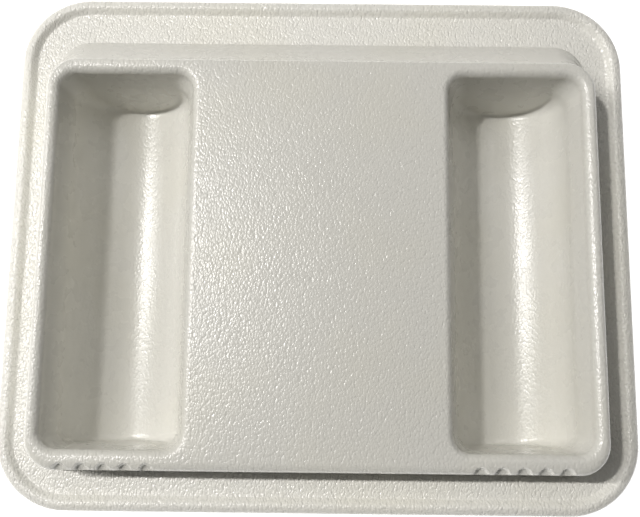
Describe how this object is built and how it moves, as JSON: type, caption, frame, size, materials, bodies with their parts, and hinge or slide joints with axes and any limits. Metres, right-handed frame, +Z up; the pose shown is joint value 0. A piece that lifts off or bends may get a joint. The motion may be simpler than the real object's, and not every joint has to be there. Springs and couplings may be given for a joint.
{
  "type": "pill counting tray",
  "caption": "Rimmed off-white tray with a raised lift-out counting insert: flat deck between long round-bottomed troughs, grip notches on the front edge, rubber feet below.",
  "frame": {"origin": "on the standing surface, under the middle of the tray's rim", "axes": "+X to the right along the long side, +Y to the back (the side with the sloped insert wall), +Z up"},
  "size_m": [0.305, 0.255, 0.052],
  "materials": {
    "base_plastic": "warm off-white sheet plastic with a fine haircell grain, satin",
    "insert_plastic": "warm off-white sheet plastic, haircell grain on the deck that stretches smooth down the troughs, satin to semi-gloss",
    "foot_rubber": "matt dark grey moulded rubber"
  },
  "bodies": {
    "base": {"base_tray": "base_plastic", "foot_front_left": "foot_rubber", "foot_front_right": "foot_rubber", "foot_rear_left": "foot_rubber", "foot_rear_right": "foot_rubber"},
    "insert": {"counting_insert": "insert_plastic"}
  },
  "joints": [
    {"name": "insert_lift", "type": "slide", "parent": "base", "child": "insert", "axis": [0, 0, 1], "range_m": [0, 0.07]}
  ]
}
